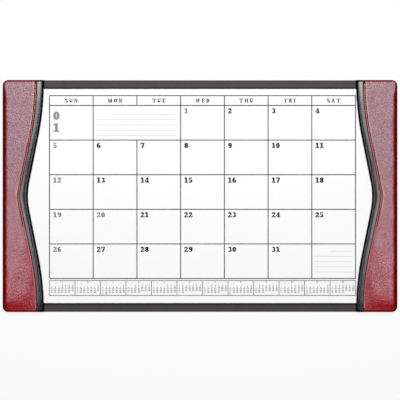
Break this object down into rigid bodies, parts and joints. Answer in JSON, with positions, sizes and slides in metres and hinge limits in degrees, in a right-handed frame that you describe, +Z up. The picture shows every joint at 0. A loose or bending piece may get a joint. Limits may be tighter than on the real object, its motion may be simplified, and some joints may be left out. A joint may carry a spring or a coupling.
{
  "type": "desk pad calendar",
  "caption": "Flat covered desk pad with a padded leather rail along each side; a glued pad of month sheets slides in under the rails, which lift along their outer edges.",
  "frame": {"origin": "middle of the underside, on the surface that the pad rests on", "axes": "+X along the long side to the right of the user, +Y away from the user, +Z up"},
  "size_m": [0.864, 0.508, 0.0153],
  "materials": {
    "burgundy_leather": "polished, fine pebble grain",
    "black_leather": "satin, fine grain",
    "black_leatherette": "matt, fine grain",
    "felt": "pressed felt",
    "greyboard": "raw board",
    "lining": "smooth lining cloth",
    "foam": "open-cell foam",
    "thread": "twisted thread",
    "paper": "uncoated",
    "backing_card": "black card",
    "padding_glue": "dried padding glue"
  },
  "bodies": {
    "base": {"felt_backing": "felt", "base_board": "greyboard", "base_cover": "black_leatherette", "left_edge_wrap": "burgundy_leather", "right_edge_wrap": "burgundy_leather", "left_spacer_strip": "greyboard", "right_spacer_strip": "greyboard"},
    "calendar": {"calendar_backer": "backing_card", "binding_glue": "padding_glue"},
    "left_rail": {"left_rail_lining": "lining", "left_rail_stiffener": "greyboard", "left_rail_foam": "foam", "left_rail_cover": "burgundy_leather", "left_trim_core": "foam", "left_rail_trim": "black_leather", "left_seam_stitches": "thread"},
    "right_rail": {"right_rail_lining": "lining", "right_rail_stiffener": "greyboard", "right_rail_foam": "foam", "right_rail_cover": "burgundy_leather", "right_trim_core": "foam", "right_rail_trim": "black_leather", "right_seam_stitches": "thread"},
    "sheet_01": {"month_sheet_01": "paper"},
    "sheet_02": {"month_sheet_02": "paper"},
    "sheet_03": {"month_sheet_03": "paper"},
    "sheet_04": {"month_sheet_04": "paper"},
    "sheet_05": {"month_sheet_05": "paper"},
    "sheet_06": {"month_sheet_06": "paper"},
    "sheet_07": {"month_sheet_07": "paper"},
    "sheet_08": {"month_sheet_08": "paper"},
    "sheet_09": {"month_sheet_09": "paper"},
    "sheet_10": {"month_sheet_10": "paper"},
    "sheet_11": {"month_sheet_11": "paper"},
    "sheet_12": {"month_sheet_12": "paper"}
  },
  "joints": [
    {"name": "calendar_slide", "type": "slide", "parent": "base", "child": "calendar", "axis": [0, -1, 0], "range_m": [0, 0.495]},
    {"name": "left_rail_lift", "type": "hinge", "parent": "base", "child": "left_rail", "pos_m": [-0.432, 0, 0.00828], "axis": [0, -1, 0], "range_deg": [0, 30]},
    {"name": "right_rail_lift", "type": "hinge", "parent": "base", "child": "right_rail", "pos_m": [0.432, 0, 0.00828], "axis": [0, 1, 0], "range_deg": [0, 30]},
    {"name": "sheet_01_pull", "type": "slide", "parent": "calendar", "child": "sheet_01", "axis": [0, -1, 0], "range_m": [0, 0.495]},
    {"name": "sheet_02_pull", "type": "slide", "parent": "calendar", "child": "sheet_02", "axis": [0, -1, 0], "range_m": [0, 0.495]},
    {"name": "sheet_03_pull", "type": "slide", "parent": "calendar", "child": "sheet_03", "axis": [0, -1, 0], "range_m": [0, 0.495]},
    {"name": "sheet_04_pull", "type": "slide", "parent": "calendar", "child": "sheet_04", "axis": [0, -1, 0], "range_m": [0, 0.495]},
    {"name": "sheet_05_pull", "type": "slide", "parent": "calendar", "child": "sheet_05", "axis": [0, -1, 0], "range_m": [0, 0.495]},
    {"name": "sheet_06_pull", "type": "slide", "parent": "calendar", "child": "sheet_06", "axis": [0, -1, 0], "range_m": [0, 0.495]},
    {"name": "sheet_07_pull", "type": "slide", "parent": "calendar", "child": "sheet_07", "axis": [0, -1, 0], "range_m": [0, 0.495]},
    {"name": "sheet_08_pull", "type": "slide", "parent": "calendar", "child": "sheet_08", "axis": [0, -1, 0], "range_m": [0, 0.495]},
    {"name": "sheet_09_pull", "type": "slide", "parent": "calendar", "child": "sheet_09", "axis": [0, -1, 0], "range_m": [0, 0.495]},
    {"name": "sheet_10_pull", "type": "slide", "parent": "calendar", "child": "sheet_10", "axis": [0, -1, 0], "range_m": [0, 0.495]},
    {"name": "sheet_11_pull", "type": "slide", "parent": "calendar", "child": "sheet_11", "axis": [0, -1, 0], "range_m": [0, 0.495]},
    {"name": "sheet_12_pull", "type": "slide", "parent": "calendar", "child": "sheet_12", "axis": [0, -1, 0], "range_m": [0, 0.495]}
  ]
}
